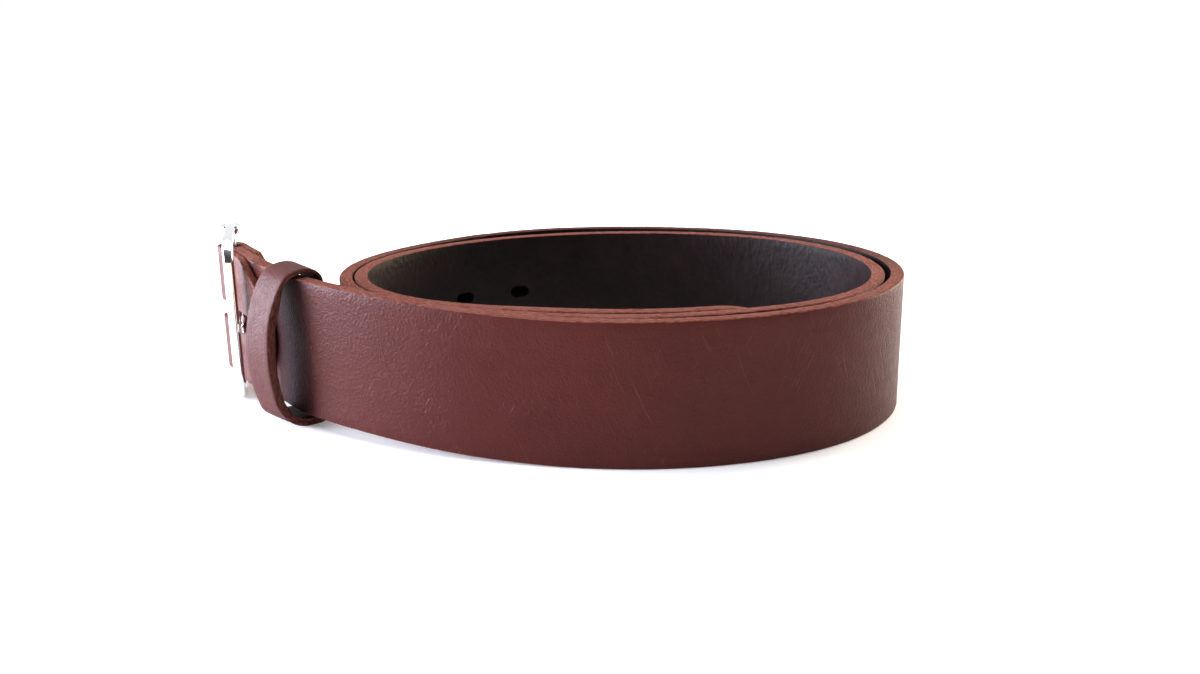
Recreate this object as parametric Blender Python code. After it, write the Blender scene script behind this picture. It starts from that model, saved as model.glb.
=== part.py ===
# Leather belt, wound into an oval coil and standing on its edge.
# Metres, +Z up.  The belt stands on z = 0.  The straight buckle end runs
# along -X and its grain side faces -Y; the coil lies behind it.
import math

import bmesh
import bpy
import numpy as np
from mathutils import Matrix, Vector

# ------------------------------------------------------------------ clean up
for ob in list(bpy.data.objects):
    bpy.data.objects.remove(ob, do_unlink=True)

MM = 0.001

# ---------------------------------------------------------- driving dimensions
# all in millimetres and degrees
STRAP_W = 35.0            # width of the strap, here its height
STRAP_T = 3.4             # leather thickness
FIT_GAP = 0.3             # air between pieces that touch on the real belt
LIFT = 3.3                # how high the buckle holds the strap's edge off the table

COIL_CENTRE = (9.65, 11.05)   # coil centre, chosen so the belt is centred on the origin
OVAL_YAW = 53.6              # direction of the oval's long axis from +X
STATION_START = 210.0        # winding angle of the first radius below
STATION_STEP = 30.0
# radius of the strap's centreline, every 30 degrees of winding, outside to inside
WRAP_RADII = [71.1, 58.0, 54.9, 58.8, 66.9, 71.3, 65.6, 57.4, 54.6, 58.6, 65.0, 72.7,
              66.4, 53.8, 51.0, 54.0, 63.0, 65.8, 59.2, 50.2, 46.7, 50.1, 59.6, 68.8,
              62.3, 49.6, 46.4, 49.9, 59.1]
WIND_FIRST = 228.0        # where the lead-in from the buckle joins the coil
WIND_LAST = 1040.0        # winding angle of the strap's tip
LIFT_ENDS_AT = 262.0      # winding angle where the edge is back on the table

STRAIGHT_Y = -79.1        # centreline of the straight part, from the coil centre
STRAIGHT_X0 = -75.3       # strap's cut end, inside the buckle tab
STRAIGHT_X1 = -34.0       # straight up to here, then it bends into the coil
END_SWING = 4.5           # the doubled-up end leans towards the coil by this much
END_PIVOT_X = -53.0       # where that lean starts

BUCKLE_FLEX_X = -11.0     # where the buckle end bends away from the coil
TAIL_LEN = 48.0           # free inner end that can be bent inwards
POINT_LEN = 24.0          # length of the pointed end

HOLE_FIRST = 124.3        # from the tip to the nearest hole
HOLE_STEP = 18.0
HOLE_COUNT = 5
HOLE_H, HOLE_L = 3.4, 5.6  # oblong hole, long side along the strap
HOLE_UP = 1.0             # holes sit a little above the strap's middle

BAR_X = -79.5             # heel bar axis, before the end's lean, from the coil centre
BAR_R = 1.3
EYE_R = BAR_R + 0.08       # running fit on the heel bar

TAB_T = 1.9               # leather of the buckle tab
TAB_SLOT_H = 4.8          # slot that the prong swings in
SCREW_X = -68.0
SCREW_DZ = 9.0            # above and below the strap's middle
SCREW_HEAD_R, SCREW_HEAD_T = 3.3, 1.2
POST_R, SCREW_R, POST_BORE_R = 2.2, 1.3, 1.6
POST_HOLE_R = 2.5

FRAME_H = 44.0            # height of the buckle frame
FRAME_LEN = 24.0          # heel bar to the middle of the outer bar
FRAME_ANGLE = -22.1       # rest direction of the frame from +X, folded back on the strap
FRAME_T = 2.8             # thickness across the frame's plane
RAIL_H = 2.5
OUTER_BAR_W = 4.0
LUG_R = 2.8

PRONG_H = 3.8
PRONG_T = 1.5

KEEPER_X0, KEEPER_X1 = -39.5, -27.5
KEEPER_T = 1.8

Z_MID = LIFT + STRAP_W / 2.0
TAB_IN = STRAP_T / 2.0 + FIT_GAP          # strap middle to the tab's inner face
TAB_MID = TAB_IN + TAB_T / 2.0
TAB_OUT = TAB_IN + TAB_T


# ------------------------------------------------------------------- materials
def principled(name, colour, rough, metal=0.0):
    m = bpy.data.materials.new(name)
    m.use_nodes = True
    b = m.node_tree.nodes["Principled BSDF"]
    b.inputs["Base Color"].default_value = (*colour, 1.0)
    b.inputs["Roughness"].default_value = rough
    b.inputs["Metallic"].default_value = metal
    m.diffuse_color = (*colour, 1.0)
    return m


# ------------------------------------------------------------------ small tools
placed_at = {}


def empty(name, point, parent=None):
    """A frame of reference at `point` (mm, in the belt's own frame)."""
    ob = bpy.data.objects.new(name, None)
    ob.empty_display_size = 0.01
    bpy.context.collection.objects.link(ob)
    ob.parent = parent
    ob.location = (Vector(point) - (placed_at[parent.name] if parent else Vector())) * MM
    placed_at[name] = Vector(point)
    return ob


def add(name, bm, origin, parent, mat):
    """Turn a bmesh drawn in millimetres in the belt's own frame into an object
    whose own origin is at `origin` and which hangs on the empty `parent`."""
    for v in bm.verts:
        v.co = (v.co - Vector(origin)) * MM
    bmesh.ops.remove_doubles(bm, verts=bm.verts, dist=1e-6)
    bmesh.ops.recalc_face_normals(bm, faces=bm.faces)
    me = bpy.data.meshes.new(name)
    bm.to_mesh(me)
    bm.free()
    me.materials.append(mat)
    ob = bpy.data.objects.new(name, me)
    bpy.context.collection.objects.link(ob)
    ob.parent = parent
    ob.location = (Vector(origin) - placed_at[parent.name]) * MM
    return ob


def ribbon(bm, pts, nrm, half_t, z_lo, z_hi):
    """Closed strip: rectangular section swept along pts, standing on edge."""
    rings = []
    for p, n, a, b in zip(pts, nrm, z_lo, z_hi):
        q0 = (p[0] + n[0] * half_t, p[1] + n[1] * half_t)
        q1 = (p[0] - n[0] * half_t, p[1] - n[1] * half_t)
        rings.append([bm.verts.new((q0[0], q0[1], a)), bm.verts.new((q0[0], q0[1], b)),
                      bm.verts.new((q1[0], q1[1], b)), bm.verts.new((q1[0], q1[1], a))])
    for r0, r1 in zip(rings[:-1], rings[1:]):
        for k in range(4):
            bm.faces.new((r0[k], r0[(k + 1) % 4], r1[(k + 1) % 4], r1[k]))
    bm.faces.new(rings[0])
    bm.faces.new(rings[-1][::-1])


def prism(bm, outline, lo, hi, frame=None):
    """Extrude a closed outline (x, y) from lo to hi along z, then apply frame."""
    vs = [bm.verts.new((x, y, lo)) for x, y in outline]
    f = bm.faces.new(vs)
    ext = bmesh.ops.extrude_face_region(bm, geom=[f])
    top = [g for g in ext["geom"] if isinstance(g, bmesh.types.BMVert)]
    bmesh.ops.translate(bm, verts=top, vec=(0, 0, hi - lo))
    if frame is not None:
        bmesh.ops.transform(bm, matrix=frame, verts=vs + top)
    return vs + top


def lathe_y(bm, profile, cx, cz, seg=24):
    """Spin an open profile of (radius, y) about the line x = cx, z = cz and close
    both of its ends with flat faces."""
    rings = []
    for r, y in profile:
        rings.append([bm.verts.new((cx + r * math.cos(2 * math.pi * k / seg), y,
                                    cz + r * math.sin(2 * math.pi * k / seg))) for k in range(seg)])
    for a, b in zip(rings[:-1], rings[1:]):
        for k in range(seg):
            bm.faces.new((a[k], a[(k + 1) % seg], b[(k + 1) % seg], b[k]))
    bm.faces.new(rings[0])
    bm.faces.new(rings[-1][::-1])


def cutter(name, bm, frame=None):
    if frame is not None:
        bmesh.ops.transform(bm, matrix=frame, verts=bm.verts[:])
    bmesh.ops.recalc_face_normals(bm, faces=bm.faces)
    for v in bm.verts:
        v.co = v.co * MM
    me = bpy.data.meshes.new(name)
    bm.to_mesh(me)
    bm.free()
    ob = bpy.data.objects.new(name, me)
    bpy.context.collection.objects.link(ob)
    ob.hide_render = True
    ob.display_type = "WIRE"
    return ob


def cut(ob, tool):
    m = ob.modifiers.new("cut_" + tool.name, "BOOLEAN")
    m.operation = "DIFFERENCE"
    m.solver = "EXACT"
    m.object = tool


def cyl_y(bm, x, z, r, y0, y1, seg=24):
    vs = [bm.verts.new((x + r * math.cos(2 * math.pi * k / seg), y0,
                        z + r * math.sin(2 * math.pi * k / seg))) for k in range(seg)]
    f = bm.faces.new(vs)
    ext = bmesh.ops.extrude_face_region(bm, geom=[f])
    top = [g for g in ext["geom"] if isinstance(g, bmesh.types.BMVert)]
    bmesh.ops.translate(bm, verts=top, vec=(0, y1 - y0, 0))


def box(bm, lo, hi):
    m = Matrix.Translation([(a + b) / 2 for a, b in zip(lo, hi)]) @ \
        Matrix.Diagonal([b - a for a, b in zip(lo, hi)] + [1.0])
    bmesh.ops.create_cube(bm, size=1.0, matrix=m)


# --------------------------------------------------------------- strap centreline
CX, CY = COIL_CENTRE


def natural_spline(xs, ys):
    n = len(xs)
    h = np.diff(xs)
    A = np.eye(n)
    r = np.zeros(n)
    for i in range(1, n - 1):
        A[i, i - 1], A[i, i], A[i, i + 1] = h[i - 1], 2 * (h[i - 1] + h[i]), h[i]
        r[i] = 6 * ((ys[i + 1] - ys[i]) / h[i] - (ys[i] - ys[i - 1]) / h[i - 1])
    m = np.linalg.solve(A, r)

    def f(x):
        i = min(max(int(np.searchsorted(xs, x)) - 1, 0), n - 2)
        a, b = xs[i + 1] - x, x - xs[i]
        return (m[i] * a ** 3 + m[i + 1] * b ** 3) / (6 * h[i]) \
            + (ys[i] / h[i] - m[i] * h[i] / 6) * a + (ys[i + 1] / h[i] - m[i + 1] * h[i] / 6) * b
    return f


stations = np.array([STATION_START + STATION_STEP * k for k in range(len(WRAP_RADII))])
wrap_radius = natural_spline(stations, np.array(WRAP_RADII))


def coil_point(angle):
    a = math.radians(angle + OVAL_YAW)
    r = wrap_radius(angle)
    return np.array([r * math.cos(a), r * math.sin(a)])


def swing(x):
    """Sideways lean of the buckle end at x, blended in over the last 6 mm."""
    t = math.tan(math.radians(END_SWING))
    d = END_PIVOT_X - x
    if d <= -3.0:
        return 0.0
    return t / 12.0 * (d + 3.0) ** 2 if d < 3.0 else t * d


def beside(x, off):
    """Point `off` in front of (-) or behind (+) the strap's middle at x, and the way out."""
    k = (swing(x - 0.01) - swing(x + 0.01)) / 0.02
    n = np.array([k, 1.0]) / math.hypot(k, 1.0)
    return np.array([x + CX, STRAIGHT_Y + CY + swing(x)]) + off * n, n * (1 if off > 0 else -1)


def centreline():
    """Dense polyline from the cut end in the buckle tab to the pointed tip."""
    p0 = coil_point(WIND_FIRST)
    d0 = coil_point(WIND_FIRST - 0.01) - coil_point(WIND_FIRST + 0.01)
    d0 /= np.linalg.norm(d0)
    p1 = np.array([STRAIGHT_X1, STRAIGHT_Y])
    d1 = np.array([-1.0, 0.0])
    L = np.linalg.norm(p1 - p0)
    lead = []
    for k in range(81):
        u = k / 80.0
        lead.append((2 * u ** 3 - 3 * u ** 2 + 1) * p0 + (u ** 3 - 2 * u ** 2 + u) * L * 1.0 * d0
                    + (3 * u ** 2 - 2 * u ** 3) * p1 + (u ** 3 - u ** 2) * L * 0.7 * d1)
    straight = [np.array([x, STRAIGHT_Y + swing(x)]) for x in np.linspace(STRAIGHT_X0, STRAIGHT_X1, 42)]
    coil = [coil_point(a) for a in np.arange(WIND_FIRST, WIND_LAST + 0.01, 0.5)]
    return np.array(straight[:-1] + lead[::-1] + coil[1:]) + np.array(COIL_CENTRE)


line = centreline()
arc = np.concatenate([[0.0], np.cumsum(np.hypot(*np.diff(line, axis=0).T))])
STRAP_LEN = float(arc[-1])


def on_line(s):
    return np.array([np.interp(s, arc, line[:, 0]), np.interp(s, arc, line[:, 1])])


def direction(s):
    d = on_line(min(s + 0.8, STRAP_LEN)) - on_line(max(s - 0.8, 0.0))
    return d / np.linalg.norm(d)


def outward(s):
    d = direction(s)
    return np.array([d[1], -d[0]])


def arc_where(test_point):
    return float(arc[np.argmin(np.hypot(*(line - np.array(test_point)).T))])


s_flat = arc_where(coil_point(LIFT_ENDS_AT) + np.array(COIL_CENTRE))
s_lift = STRAIGHT_X1 + 4.0 - STRAIGHT_X0
s_flex = float(arc[np.argmin(np.abs(line[:int(len(line) * 0.12), 0] - (BUCKLE_FLEX_X + COIL_CENTRE[0])))])
s_tail = STRAP_LEN - TAIL_LEN


def lift(s):
    u = min(max((s - s_lift) / (s_flat - s_lift), 0.0), 1.0)
    return LIFT * (1.0 - u * u * (3.0 - 2.0 * u))


def half_width(s):
    """Half the strap's width: full, then drawn in to a rounded point."""
    u = (s - (STRAP_LEN - POINT_LEN)) / POINT_LEN
    if u <= 0.0:
        return STRAP_W / 2.0
    u = min(u, 1.0)
    return max(STRAP_W / 2.0 * math.sqrt(max(1.0 - u ** 2.0, 0.0)), 1.4)


def strap_piece(name, s0, s1, step, origin, parent, mat, extra=()):
    n = max(int(round((s1 - s0) / step)), 2)
    ss = sorted(set([s0 + (s1 - s0) * k / n for k in range(n + 1)] + [e for e in extra if s0 < e < s1]))
    pts = [on_line(s) for s in ss]
    nrm = [outward(s) for s in ss]
    lo = [lift(s) + STRAP_W / 2 - half_width(s) for s in ss]
    hi = [lift(s) + STRAP_W / 2 + half_width(s) for s in ss]
    bm = bmesh.new()
    ribbon(bm, pts, nrm, STRAP_T / 2, lo, hi)
    return add(name, bm, origin, parent, mat)


# ------------------------------------------------------------------ joint centres
flex_xy = on_line(s_flex) + outward(s_flex) * STRAP_T / 2     # on the grain face
tail_xy = on_line(s_tail) - outward(s_tail) * STRAP_T / 2     # on the flesh face
pivot = Vector((END_PIVOT_X + CX, STRAIGHT_Y + CY, 0.0))
END = Matrix.Translation(pivot) @ Matrix.Rotation(math.radians(-END_SWING), 4, "Z") @ Matrix.Translation(-pivot)
bar_xy = (END @ Vector((BAR_X + CX, STRAIGHT_Y + CY, 0.0)))[:2]

coil_origin = empty("coil_origin", (CX, CY, 0.0))
flex_axis = empty("buckle_end_flex_axis", (flex_xy[0], flex_xy[1], 0.0), coil_origin)
tail_axis = empty("tail_flex_axis", (tail_xy[0], tail_xy[1], 0.0), coil_origin)
bar_axis = empty("heel_bar_axis", (bar_xy[0], bar_xy[1], Z_MID), flex_axis)
keeper_origin = empty("keeper_origin", (KEEPER_X1 + CX, STRAIGHT_Y + CY, Z_MID), flex_axis)

# ---------------------------------------------------------------------- materials
m_strap = principled("strap_leather", (0.115, 0.045, 0.036), 0.45)
m_tab = principled("tab_leather", (0.125, 0.050, 0.040), 0.45)
m_keeper = principled("keeper_leather", (0.120, 0.047, 0.038), 0.45)
m_frame = principled("polished_nickel", (0.78, 0.76, 0.72), 0.12, 1.0)
m_bar = principled("heel_bar_steel", (0.62, 0.61, 0.60), 0.25, 1.0)
m_prong = principled("prong_nickel", (0.76, 0.74, 0.70), 0.15, 1.0)
m_post = principled("screw_post_nickel", (0.70, 0.69, 0.67), 0.22, 1.0)
m_screw = principled("screw_nickel", (0.66, 0.65, 0.63), 0.25, 1.0)
m_staple = principled("staple_steel", (0.55, 0.55, 0.56), 0.35, 1.0)

# -------------------------------------------------------------------------- strap
cut_half = FIT_GAP / 2.0
strap_end = strap_piece("strap_buckle_end", 0.0, s_flex - cut_half, 3.0,
                        (flex_xy[0], flex_xy[1], 0.0), flex_axis, m_strap)
strap_coil = strap_piece("strap_coil", s_flex + cut_half, s_tail - cut_half, 4.0,
                         (CX, CY, 0.0), coil_origin, m_strap)
point_rings = [STRAP_LEN - POINT_LEN * (1 - math.sin(math.radians(a))) for a in (15, 30, 45, 57, 68, 78, 85)]
strap_tail = strap_piece("strap_tail", s_tail + cut_half, STRAP_LEN, 4.0,
                         (tail_xy[0], tail_xy[1], 0.0), tail_axis, m_strap, extra=point_rings)

# buckle holes through the strap near its tip, oblong along the strap
bm = bmesh.new()
for k in range(HOLE_COUNT):
    s = STRAP_LEN - HOLE_FIRST - HOLE_STEP * k
    p, d, n = on_line(s), direction(s), outward(s)
    r = HOLE_H / 2
    ring = []
    for side in (1, -1):
        for i in range(9):
            a = math.radians(-90 + 180 * i / 8)
            ring.append((side * ((HOLE_L / 2 - r) + r * math.cos(a)), side * r * math.sin(a)))
    f = Matrix(((d[0], 0.0, n[0], p[0]), (d[1], 0.0, n[1], p[1]), (0.0, 1.0, 0.0, STRAP_W / 2 + HOLE_UP),
                (0, 0, 0, 1)))
    prism(bm, ring, -STRAP_T, STRAP_T, f)
cut(strap_coil, cutter("cut_buckle_holes", bm))

# slot and screw holes in the strap's buckle end
bm = bmesh.new()
box(bm, (STRAIGHT_X0 - 5 + CX, STRAIGHT_Y - 4 + CY, Z_MID - TAB_SLOT_H / 2),
    (-61.3 + CX, STRAIGHT_Y + 4 + CY, Z_MID + TAB_SLOT_H / 2))
for dz in (-SCREW_DZ, SCREW_DZ):
    cyl_y(bm, SCREW_X + CX, Z_MID + dz, POST_HOLE_R, STRAIGHT_Y - 4 + CY, STRAIGHT_Y + 4 + CY)
cut(strap_end, cutter("cut_strap_end", bm, END))

# --------------------------------------------------------------------- buckle tab
# one strip of leather: pointed front leaf, round the heel bar, pointed back leaf
bar_x = bar_xy[0] - CX
FRONT_LEAF = [(-41.3, 1.2), (-41.5, 3.0), (-42.3, 5.5), (-44.0, 8.2), (-47.0, 10.8), (-50.0, 12.7), (-51.5, 13.5),
              (-53.0, 14.2), (-54.5, 15.0), (-56.0, 15.8), (-57.0, 16.3), (-60.0, 17.5), (-70.0, 17.5), (bar_x, 17.5)]
BACK_LEAF = [(bar_x, 17.5), (-72.0, 17.5), (-65.0, 17.5), (-62.0, 16.3), (-56.0, 13.2), (-54.5, 12.4),
             (-53.0, 11.6), (-51.5, 10.8), (-50.0, 10.0), (-46.5, 7.0), (-45.0, 4.6), (-44.2, 2.8), (-44.0, 1.2)]
pts, nrm, half = [], [], []
for x, h in FRONT_LEAF:
    p, n = beside(x, -TAB_MID)
    pts.append(p)
    nrm.append(n)
    half.append(h)
for k in range(1, 12):
    a = math.radians(-90 - END_SWING - 180 * k / 12)
    pts.append((bar_xy[0] + TAB_MID * math.cos(a), bar_xy[1] + TAB_MID * math.sin(a)))
    nrm.append((math.cos(a), math.sin(a)))
    half.append(17.5)
for x, h in BACK_LEAF:
    p, n = beside(x, TAB_MID)
    pts.append(p)
    nrm.append(n)
    half.append(h)
bm = bmesh.new()
ribbon(bm, pts, nrm, TAB_T / 2, [Z_MID - h for h in half], [Z_MID + h for h in half])
tab = add("buckle_tab", bm, (bar_xy[0], bar_xy[1], Z_MID), bar_axis, m_tab)

bm = bmesh.new()
box(bm, (-90 + CX, STRAIGHT_Y - 6 + CY, Z_MID - TAB_SLOT_H / 2), (-55.0 + CX, STRAIGHT_Y + CY, Z_MID + TAB_SLOT_H / 2))
cut(tab, cutter("cut_tab_front_slot", bm, END))
bm = bmesh.new()
box(bm, (-90 + CX, STRAIGHT_Y - 1 + CY, Z_MID - TAB_SLOT_H / 2), (-72.0 + CX, STRAIGHT_Y + 6 + CY, Z_MID + TAB_SLOT_H / 2))
cut(tab, cutter("cut_tab_back_slot", bm, END))
bm = bmesh.new()
for dz in (-SCREW_DZ, SCREW_DZ):
    cyl_y(bm, SCREW_X + CX, Z_MID + dz, POST_HOLE_R, STRAIGHT_Y - 8 + CY, STRAIGHT_Y + 8 + CY)
cut(tab, cutter("cut_tab_screw_holes", bm, END))

# ------------------------------------------------------------ screw posts and screws
y_front = STRAIGHT_Y - TAB_OUT - FIT_GAP + CY       # underside of the post heads
y_back = STRAIGHT_Y + TAB_OUT + FIT_GAP + CY        # underside of the screw heads
for where, dz in (("lower", -SCREW_DZ), ("upper", SCREW_DZ)):
    bm = bmesh.new()
    lathe_y(bm, [(SCREW_HEAD_R - 0.5, y_front - SCREW_HEAD_T), (SCREW_HEAD_R, y_front - SCREW_HEAD_T + 0.5),
                 (SCREW_HEAD_R, y_front), (POST_R, y_front), (POST_R, y_back - 2 * FIT_GAP),
                 (POST_BORE_R, y_back - 2 * FIT_GAP), (POST_BORE_R, y_front + 1.6)],
            SCREW_X + CX, Z_MID + dz)
    bmesh.ops.transform(bm, matrix=END, verts=bm.verts[:])
    screw_at = END @ Vector((SCREW_X + CX, STRAIGHT_Y + CY, Z_MID + dz))
    add("screw_post_" + where, bm, screw_at, flex_axis, m_post)
    bm = bmesh.new()
    lathe_y(bm, [(SCREW_R - 0.3, y_front + 2.6), (SCREW_R, y_front + 2.9), (SCREW_R, y_back),
                 (SCREW_HEAD_R, y_back), (SCREW_HEAD_R, y_back + SCREW_HEAD_T - 0.4),
                 (SCREW_HEAD_R - 0.4, y_back + SCREW_HEAD_T)], SCREW_X + CX, Z_MID + dz)
    bmesh.ops.transform(bm, matrix=END, verts=bm.verts[:])
    screw = add("screw_" + where, bm, screw_at, flex_axis, m_screw)
    bm = bmesh.new()
    box(bm, (SCREW_X + CX - 4.5, y_back + SCREW_HEAD_T - 0.5, Z_MID + dz - 0.4),
        (SCREW_X + CX + 4.5, y_back + SCREW_HEAD_T + 1.0, Z_MID + dz + 0.4))
    cut(screw, cutter("cut_screw_slot_" + where, bm, END))

# ------------------------------------------------------------------ buckle frame
# drawn flat in its own plane: u from the heel bar to the outer bar, w across
HH = FRAME_H / 2
u_out = FRAME_LEN + OUTER_BAR_W / 2
u_in = FRAME_LEN - OUTER_BAR_W / 2
outer, inner = [], []
for k in range(7):                       # round outer corners, slightly bowed outer bar
    a = math.radians(90 * k / 6)
    outer.append((u_out - 6.0 - 0.8 + 6.0 * math.sin(a), HH - 6.0 + 6.0 * math.cos(a)))
for w in (10.0, 5.0, 0.0):
    outer.append((u_out - 0.8 + 0.8 * (1 - (w / (HH - 6.0)) ** 2), w))
for k in range(5):
    a = math.radians(90 * k / 4)
    inner.append((u_in - 3.5 - 0.8 + 3.5 * math.sin(a), HH - RAIL_H - 3.5 + 3.5 * math.cos(a)))
for w in (9.0, 4.5, 0.0):
    inner.append((u_in - 0.8 + 0.8 * (1 - (w / (HH - 6.0)) ** 2), w))
outer = outer + [(u, -w) for u, w in outer[-2::-1]]
inner = inner + [(u, -w) for u, w in inner[-2::-1]]
outline = [(0.0, HH)] + outer + [(0.0, -HH), (0.0, -HH + RAIL_H)] + inner[::-1] + [(0.0, HH - RAIL_H)]
fa = math.radians(FRAME_ANGLE)
u_dir = Vector((math.cos(fa), math.sin(fa), 0.0))
v_dir = Vector((-math.sin(fa), math.cos(fa), 0.0))   # the frame's front, towards the strap at rest
zc = HH
F = Matrix(((u_dir.x, 0.0, v_dir.x, bar_xy[0]), (u_dir.y, 0.0, v_dir.y, bar_xy[1]), (0.0, 1.0, 0.0, zc), (0, 0, 0, 1)))
bm = bmesh.new()
prism(bm, outline, -FRAME_T / 2, FRAME_T / 2, F)
frame_body = add("buckle_frame", bm, (bar_xy[0], bar_xy[1], Z_MID), bar_axis, m_frame)
bev = frame_body.modifiers.new("soft_edges", "BEVEL")
bev.width = 0.6 * MM
bev.segments = 2
bev.limit_method = "ANGLE"
bev.angle_limit = math.radians(40)
# eyes round the heel bar at the ends of the rails
bm = bmesh.new()
for z0, z1 in ((0.0, RAIL_H), (FRAME_H - RAIL_H, FRAME_H)):
    vs = [(bar_xy[0] + LUG_R * math.cos(2 * math.pi * k / 32), bar_xy[1] + LUG_R * math.sin(2 * math.pi * k / 32))
          for k in range(32)]
    prism(bm, vs, z0, z1)
eyes = cutter("frame_eyes", bm)
uni = frame_body.modifiers.new("eyes", "BOOLEAN")
uni.operation = "UNION"
uni.solver = "EXACT"
uni.object = eyes
bm = bmesh.new()
vs = [(bar_xy[0] + EYE_R * math.cos(2 * math.pi * k / 24), bar_xy[1] + EYE_R * math.sin(2 * math.pi * k / 24))
      for k in range(24)]
prism(bm, vs, -5.0, FRAME_H + 5.0)
cut(frame_body, cutter("cut_frame_bar_holes", bm))

bm = bmesh.new()
vs = [(bar_xy[0] + BAR_R * math.cos(2 * math.pi * k / 24), bar_xy[1] + BAR_R * math.sin(2 * math.pi * k / 24))
      for k in range(24)]
prism(bm, vs, 0.2, FRAME_H - 0.2)
add("heel_bar", bm, (bar_xy[0], bar_xy[1], Z_MID), bar_axis, m_bar)

# -------------------------------------------------------------------------- prong
# hooked round the heel bar, tip lying on the front of the outer bar
hook_r = EYE_R + 0.7                       # middle of the hooked part
mid, thick = [], []
for k in range(19):                        # open hook, wound from behind the bar round to the shank
    a = math.radians(90.0 + 285.0 - 285.0 * k / 18.0)
    mid.append((hook_r * math.cos(a), hook_r * math.sin(a)))
    thick.append(1.4)
shank = [(3.0, 2.3, 1.4), (6.0, 2.35, 1.5), (12.0, 2.4, PRONG_T), (18.0, 2.45, PRONG_T),
         (21.5, 2.45, PRONG_T), (24.0, 2.35, 1.3), (26.0, 2.25, 1.1), (26.9, 2.15, 0.9)]
for u, v, t in shank:
    mid.append((u, v))
    thick.append(t)
left, right = [], []
for i, (p, t) in enumerate(zip(mid, thick)):
    q0 = mid[max(i - 1, 0)]
    q1 = mid[min(i + 1, len(mid) - 1)]
    d = Vector((q1[0] - q0[0], q1[1] - q0[1])).normalized()
    n = Vector((-d.y, d.x)) * (t / 2)
    left.append((p[0] + n.x, p[1] + n.y))
    right.append((p[0] - n.x, p[1] - n.y))
P = Matrix(((u_dir.x, v_dir.x, 0.0, bar_xy[0]), (u_dir.y, v_dir.y, 0.0, bar_xy[1]), (0.0, 0.0, 1.0, Z_MID), (0, 0, 0, 1)))
bm = bmesh.new()
prism(bm, left + right[::-1], -PRONG_H / 2, PRONG_H / 2, P)
prong = add("prong", bm, (bar_xy[0], bar_xy[1], Z_MID), bar_axis, m_prong)
bev = prong.modifiers.new("soft_edges", "BEVEL")
bev.width = 0.35 * MM
bev.segments = 1
bev.limit_method = "ANGLE"
bev.angle_limit = math.radians(60)

# ------------------------------------------------------------------------- keeper
# section across the strap: flat behind, standing off in front (y from the strap's middle, z)
KEEPER_OUTER = [(6.3, 3.2), (5.6, 1.3), (3.8, 0.2), (1.0, 0.0), (-2.5, 0.3), (-5.0, 1.7), (-7.2, 4.3),
                (-8.7, 8.0), (-9.9, 13.5), (-10.4, 20.0), (-10.1, 26.5), (-9.0, 32.0), (-7.3, 36.2),
                (-4.8, 39.2), (-1.5, 40.4), (2.5, 40.5), (5.2, 39.5), (6.3, 37.5), (6.3, 28.5), (6.3, 20.0), (6.3, 11.5)]


def offset_ring(ring, d):
    out = []
    n = len(ring)
    for i in range(n):
        a, b, c = Vector(ring[i - 1]), Vector(ring[i]), Vector(ring[(i + 1) % n])
        t = ((b - a).normalized() + (c - b).normalized()).normalized()
        m = Vector((t.y, -t.x))
        out.append((b.x + m.x * d, b.y + m.y * d))
    return out


ring_sign = 0.0
for i in range(len(KEEPER_OUTER)):
    a, b = KEEPER_OUTER[i - 1], KEEPER_OUTER[i]
    ring_sign += a[0] * b[1] - b[0] * a[1]
inner_ring = offset_ring(KEEPER_OUTER, KEEPER_T if ring_sign < 0 else -KEEPER_T)
bm = bmesh.new()
loops = []
for x in (KEEPER_X0, KEEPER_X1):
    loops.append(([bm.verts.new((x + CX, y + STRAIGHT_Y + CY, z)) for y, z in KEEPER_OUTER],
                  [bm.verts.new((x + CX, y + STRAIGHT_Y + CY, z)) for y, z in inner_ring]))
n = len(KEEPER_OUTER)
for k in range(n):
    j = (k + 1) % n
    (o0, i0), (o1, i1) = loops
    bm.faces.new((o0[k], o0[j], o1[j], o1[k]))
    bm.faces.new((i0[k], i1[k], i1[j], i0[j]))
    bm.faces.new((o0[k], i0[k], i0[j], o0[j]))
    bm.faces.new((o1[k], o1[j], i1[j], i1[k]))
add("keeper_band", bm, (KEEPER_X1 + CX, STRAIGHT_Y + CY, Z_MID), keeper_origin, m_keeper)

# wire staple that closes the band behind the strap
y_st = STRAIGHT_Y + 6.3 + FIT_GAP + CY
x_st = (KEEPER_X0 + KEEPER_X1) / 2 + CX
bm = bmesh.new()
box(bm, (x_st - 0.5, y_st, Z_MID - 4.0), (x_st + 0.5, y_st + 0.7, Z_MID + 4.0))
staple = add("keeper_staple", bm, (x_st, y_st, Z_MID), keeper_origin, m_staple)
bev = staple.modifiers.new("wire", "BEVEL")
bev.width = 0.2 * MM
bev.segments = 2

bpy.context.view_layer.update()
print("strap length %.1f  flex s %.1f  tail s %.1f" % (STRAP_LEN, s_flex, s_tail))
print("flex axis", [round(float(v), 2) for v in flex_xy], "tail axis", [round(float(v), 2) for v in tail_xy],
      "bar", [round(float(v), 2) for v in bar_xy])
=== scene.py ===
import math

import bmesh
import bpy
import numpy as np
from mathutils import Matrix, Vector, noise


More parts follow.
